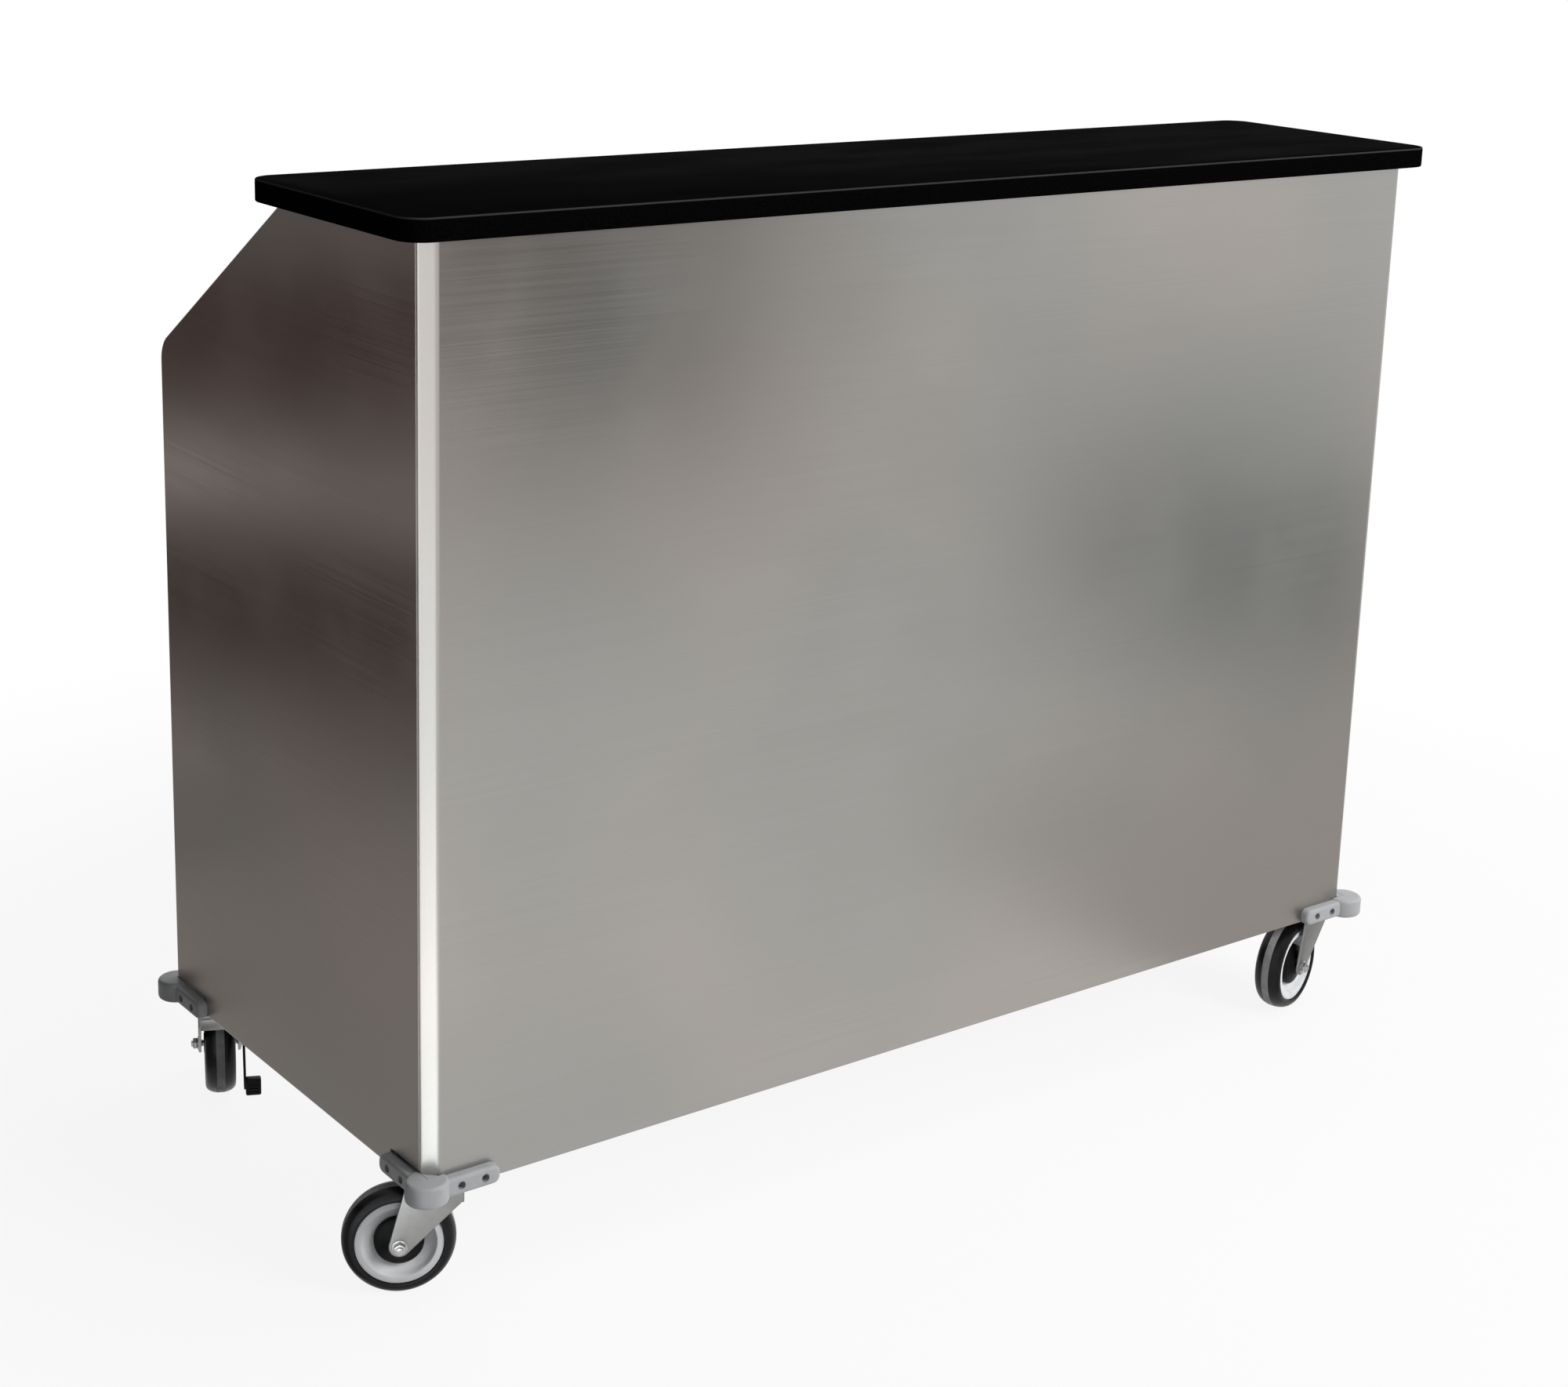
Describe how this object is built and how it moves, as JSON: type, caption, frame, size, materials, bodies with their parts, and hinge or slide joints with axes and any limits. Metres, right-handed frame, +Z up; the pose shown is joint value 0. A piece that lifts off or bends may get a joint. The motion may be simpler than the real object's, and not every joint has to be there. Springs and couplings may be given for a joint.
{
  "type": "folding portable bar",
  "caption": "Folding portable bar: stainless front and hinged end panels under a black bar top, drop-leaf work shelf behind, corner bumpers and swivel casters.",
  "frame": {"origin": "on the floor, in the middle of the footprint with the casters", "axes": "+X to the right seen from the customers' side, +Y to the bartender's side, +Z up"},
  "size_m": [1.593, 0.7061, 1.2094],
  "materials": {
    "black_laminate": "satin black laminate",
    "stainless": "brushed stainless sheet",
    "zinc_steel": "zinc-plated pressed steel",
    "frame_tube": "mill-finish square tube",
    "bright_steel": "bright plated steel",
    "grey_plastic": "grey moulded bumper",
    "pale_rim": "pale grey moulded wheel centre",
    "black_plastic": "black moulded plastic",
    "tyre_rubber": "black rubber tread"
  },
  "bodies": {
    "front_unit": {"bar_top": "black_laminate", "top_arm_left": "zinc_steel", "top_arm_right": "zinc_steel", "front_skin": "stainless", "front_frame": "frame_tube", "front_liner": "stainless", "shelf_ledger": "zinc_steel", "shelf_hinge_pin": "bright_steel", "hinge_front_leaf_left": "stainless", "hinge_front_leaf_right": "stainless", "hinge_pin_left": "bright_steel", "hinge_pin_right": "bright_steel", "corner_shoe_front_left": "zinc_steel", "corner_shoe_front_right": "zinc_steel", "bumper_front_left": "grey_plastic", "bumper_front_right": "grey_plastic", "caster_race_front_left": "zinc_steel", "caster_race_front_right": "zinc_steel"},
    "work_shelf": {"work_shelf": "black_laminate", "shelf_hinge_leaf": "zinc_steel"},
    "end_panel_left": {"end_skin_left": "stainless", "end_frame_left": "frame_tube", "end_liner_left": "stainless", "hinge_end_leaf_left": "stainless", "support_mount_left": "zinc_steel", "corner_shoe_rear_left": "zinc_steel", "bumper_rear_left": "grey_plastic", "caster_race_rear_left": "zinc_steel"},
    "shelf_support_left": {"support_arm_left": "zinc_steel"},
    "end_panel_right": {"end_skin_right": "stainless", "end_frame_right": "frame_tube", "end_liner_right": "stainless", "hinge_end_leaf_right": "stainless", "support_mount_right": "zinc_steel", "corner_shoe_rear_right": "zinc_steel", "bumper_rear_right": "grey_plastic", "caster_race_rear_right": "zinc_steel"},
    "shelf_support_right": {"support_arm_right": "zinc_steel"},
    "caster_front_left": {"caster_fork_front_left": "zinc_steel", "axle_bolt_front_left": "bright_steel"},
    "wheel_front_left": {"tyre_front_left": "tyre_rubber", "wheel_rim_front_left": "pale_rim", "wheel_hub_front_left": "black_plastic"},
    "caster_front_right": {"caster_fork_front_right": "zinc_steel", "axle_bolt_front_right": "bright_steel"},
    "wheel_front_right": {"tyre_front_right": "tyre_rubber", "wheel_rim_front_right": "pale_rim", "wheel_hub_front_right": "black_plastic"},
    "caster_rear_left": {"caster_fork_rear_left": "zinc_steel", "axle_bolt_rear_left": "bright_steel"},
    "wheel_rear_left": {"tyre_rear_left": "tyre_rubber", "wheel_rim_rear_left": "pale_rim", "wheel_hub_rear_left": "black_plastic"},
    "brake_rear_left": {"brake_pedal_rear_left": "black_plastic"},
    "caster_rear_right": {"caster_fork_rear_right": "zinc_steel", "axle_bolt_rear_right": "bright_steel"},
    "wheel_rear_right": {"tyre_rear_right": "tyre_rubber", "wheel_rim_rear_right": "pale_rim", "wheel_hub_rear_right": "black_plastic"},
    "brake_rear_right": {"brake_pedal_rear_right": "black_plastic"}
  },
  "joints": [
    {"name": "end_panel_fold_left", "type": "hinge", "parent": "front_unit", "child": "end_panel_left", "pos_m": [-0.7027, -0.2982, 0.14], "axis": [0, 0, 1], "range_deg": [-70, 0]},
    {"name": "shelf_support_swing_left", "type": "hinge", "parent": "end_panel_left", "child": "shelf_support_left", "pos_m": [-0.6982, -0.0945, 0.86], "axis": [0, 0, -1], "range_deg": [0, 90]},
    {"name": "end_panel_fold_right", "type": "hinge", "parent": "front_unit", "child": "end_panel_right", "pos_m": [0.7027, -0.2982, 0.14], "axis": [0, 0, -1], "range_deg": [-70, 0]},
    {"name": "shelf_support_swing_right", "type": "hinge", "parent": "end_panel_right", "child": "shelf_support_right", "pos_m": [0.6982, -0.0945, 0.86], "axis": [0, 0, 1], "range_deg": [0, 90]},
    {"name": "work_shelf_lift", "type": "hinge", "parent": "front_unit", "child": "work_shelf", "pos_m": [0, -0.2855, 0.9], "axis": [1, 0, 0], "range_deg": [0, 90]},
    {"name": "swivel_front_left", "type": "hinge", "parent": "front_unit", "child": "caster_front_left", "pos_m": [-0.7, -0.2885, 0.14], "axis": [0, 0, 1], "continuous": true},
    {"name": "roll_front_left", "type": "hinge", "parent": "caster_front_left", "child": "wheel_front_left", "pos_m": [-0.73374, -0.27101, 0.0635], "axis": [-0.4602, -0.8878, 0], "continuous": true},
    {"name": "swivel_front_right", "type": "hinge", "parent": "front_unit", "child": "caster_front_right", "pos_m": [0.7, -0.2885, 0.14], "axis": [0, 0, 1], "continuous": true},
    {"name": "roll_front_right", "type": "hinge", "parent": "caster_front_right", "child": "wheel_front_right", "pos_m": [0.66356, -0.29929, 0.0635], "axis": [0.284, -0.9588, 0], "continuous": true},
    {"name": "swivel_rear_left", "type": "hinge", "parent": "end_panel_left", "child": "caster_rear_left", "pos_m": [-0.7, 0.2495, 0.14], "axis": [0, 0, 1], "continuous": true},
    {"name": "roll_rear_left", "type": "hinge", "parent": "caster_rear_left", "child": "wheel_rear_left", "pos_m": [-0.68448, 0.28419, 0.0635], "axis": [-0.9128, 0.4083, 0], "continuous": true},
    {"name": "brake_pedal_rear_left", "type": "hinge", "parent": "caster_rear_left", "child": "brake_rear_left", "pos_m": [-0.70735, 0.23307, 0.115], "axis": [0.9128, -0.4083, 0], "range_deg": [-25, 0]},
    {"name": "swivel_rear_right", "type": "hinge", "parent": "end_panel_right", "child": "caster_rear_right", "pos_m": [0.7, 0.2495, 0.14], "axis": [0, 0, 1], "continuous": true},
    {"name": "roll_rear_right", "type": "hinge", "parent": "caster_rear_right", "child": "wheel_rear_right", "pos_m": [0.73374, 0.23201, 0.0635], "axis": [0.4602, 0.8878, 0], "continuous": true},
    {"name": "brake_pedal_rear_right", "type": "hinge", "parent": "caster_rear_right", "child": "brake_rear_right", "pos_m": [0.68402, 0.25778, 0.115], "axis": [-0.4602, -0.8878, 0], "range_deg": [-25, 0]}
  ]
}
